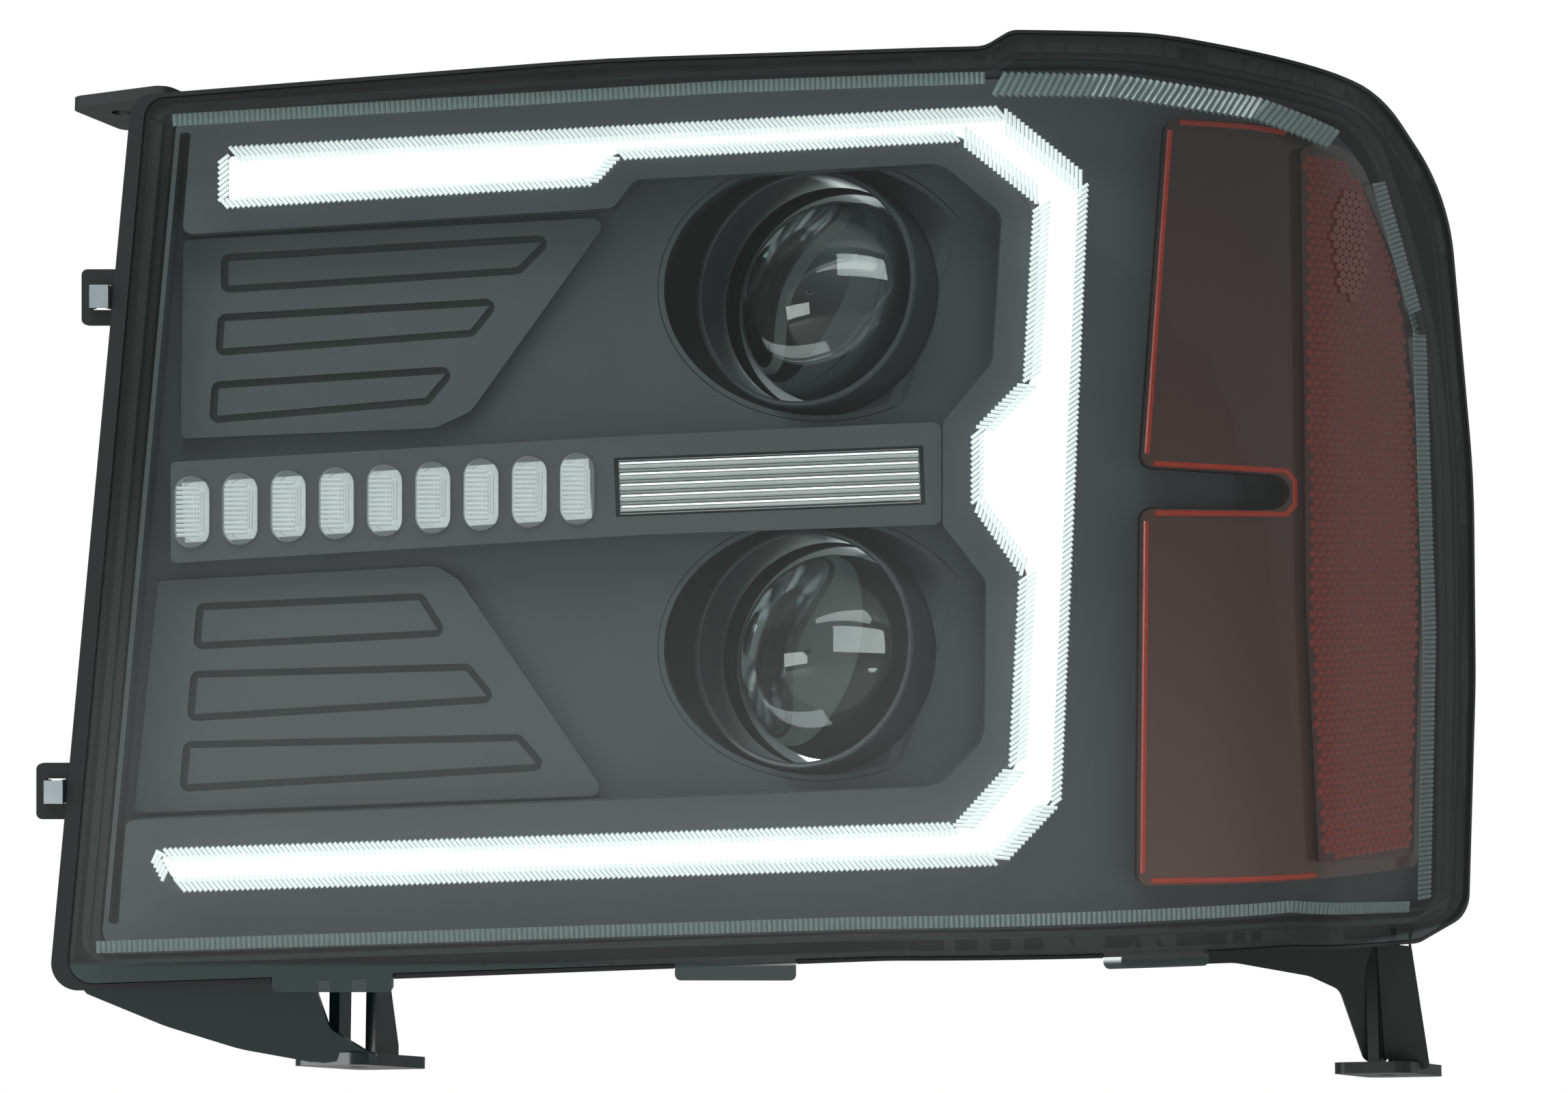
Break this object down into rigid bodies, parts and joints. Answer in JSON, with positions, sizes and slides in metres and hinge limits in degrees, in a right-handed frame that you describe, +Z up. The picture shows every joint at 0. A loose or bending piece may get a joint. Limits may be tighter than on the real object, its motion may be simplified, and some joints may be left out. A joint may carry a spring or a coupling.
{
  "type": "truck headlamp assembly",
  "caption": "Left-hand wrap-around truck headlamp with twin projector lenses on a tilting carrier, C-shaped light bar, LED pods, amber turn signal and rear access caps.",
  "frame": {"origin": "bolt hole of the inboard foot, at the foot's underside", "axes": "vehicle axes: -Y forward along the beam, +X outboard (right when seen from in front), +Z up"},
  "size_m": [0.4223, 0.4185, 0.3567],
  "materials": {
    "black_housing": "moulded black polypropylene, fine grain",
    "sealant": "dark butyl sealant bead",
    "clear_polycarbonate": "hard-coated clear polycarbonate, faint grey-green tint",
    "charcoal_bezel": "charcoal grey satin plastic",
    "black_gloss_shroud": "dark satin gloss plastic",
    "clear_optic": "clear fluted acrylic",
    "led_board": "white solder mask circuit board",
    "chrome_trim": "bright chrome-plated plastic",
    "white_diffuser": "milky white acrylic",
    "smoked_amber": "smoked brown-amber acrylic",
    "amber_reflex": "red-orange reflex acrylic",
    "metallised_plastic": "vacuum-metallised plastic",
    "black_bracket": "glass-filled black nylon",
    "zinc_steel": "zinc-plated steel",
    "cast_aluminium": "die-cast aluminium",
    "black_connector": "black nylon",
    "rubber": "moulded rubber",
    "acetal": "natural acetal",
    "carrier_plastic": "glass-filled black nylon",
    "shield_steel": "stamped steel",
    "black_cap": "black nylon with moulded grip",
    "socket_grey": "grey nylon",
    "amber_bulb_glass": "amber glass wedge bulb",
    "optical_glass": "clear pressed glass, domed front",
    "chrome_ring": "bright chromed steel",
    "bright_reflector": "vacuum-aluminised bowl",
    "bulb_glass": "quartz glass with metal base"
  },
  "bodies": {
    "housing": {"housing_shell": "black_housing", "lens_seal": "sealant", "outer_lens": "clear_polycarbonate", "main_bezel": "charcoal_bezel", "upper_bowl": "charcoal_bezel", "lower_bowl": "charcoal_bezel", "upper_shroud": "black_gloss_shroud", "lower_shroud": "black_gloss_shroud", "upper_louvre_panel": "charcoal_bezel", "lower_louvre_panel": "charcoal_bezel", "centre_bar": "charcoal_bezel", "led_pods": "clear_optic", "pod_led_board": "led_board", "chrome_trim": "chrome_trim", "light_bar_lens": "clear_optic", "light_bar_diffuser": "white_diffuser", "light_bar_board": "led_board", "amber_lens": "smoked_amber", "side_reflex": "amber_reflex", "turn_reflector": "metallised_plastic", "inboard_bracket": "black_bracket", "outboard_bracket": "black_bracket", "bezel_screws": "zinc_steel", "ear_clips": "zinc_steel", "led_driver": "cast_aluminium", "connector_inlet": "black_connector", "vent_caps": "rubber", "pivot_bushes": "acetal"},
    "carrier": {"carrier_frame": "carrier_plastic", "aim_nut": "acetal", "cutoff_shield": "shield_steel", "upper_projector_lens": "optical_glass", "upper_lens_retainer": "chrome_ring", "upper_barrel": "cast_aluminium", "upper_reflector_bowl": "bright_reflector", "upper_bulb": "bulb_glass", "lower_projector_lens": "optical_glass", "lower_lens_retainer": "chrome_ring", "lower_barrel": "cast_aluminium", "lower_reflector_bowl": "bright_reflector", "lower_bulb": "bulb_glass"},
    "aim_screw": {"aim_screw": "zinc_steel"},
    "upper_cap": {"upper_rear_cap": "black_cap", "upper_cap_seal": "rubber"},
    "lower_cap": {"lower_rear_cap": "black_cap", "lower_cap_seal": "rubber"},
    "turn_socket": {"turn_socket": "socket_grey", "turn_socket_seal": "rubber", "turn_bulb": "amber_bulb_glass"}
  },
  "joints": [
    {"name": "carrier_tilt", "type": "hinge", "parent": "housing", "child": "carrier", "pos_m": [0.162, 0.079, 0.197], "axis": [1, 0, 0], "range_deg": [-2.5, 2.5]},
    {"name": "aim_screw_turn", "type": "hinge", "parent": "housing", "child": "aim_screw", "pos_m": [0.155, 0.196, 0.088], "axis": [0, 1, 0], "range_deg": [-1150, 1150]},
    {"name": "upper_cap_turn", "type": "hinge", "parent": "housing", "child": "upper_cap", "pos_m": [0.1636, 0.1832, 0.2565], "axis": [0, 1, 0], "range_deg": [0, 60]},
    {"name": "lower_cap_turn", "type": "hinge", "parent": "housing", "child": "lower_cap", "pos_m": [0.1549, 0.1999, 0.1376], "axis": [0, 1, 0], "range_deg": [0, 60]},
    {"name": "turn_socket_twist", "type": "hinge", "parent": "housing", "child": "turn_socket", "pos_m": [0.26385, 0.21656, 0.20238], "axis": [-0.837, 0.5309, 0.1322], "range_deg": [0, 45]}
  ],
  "couplings": [
    {"joint": "aim_screw_turn", "follows": "carrier_tilt", "ratio": -456.6}
  ]
}
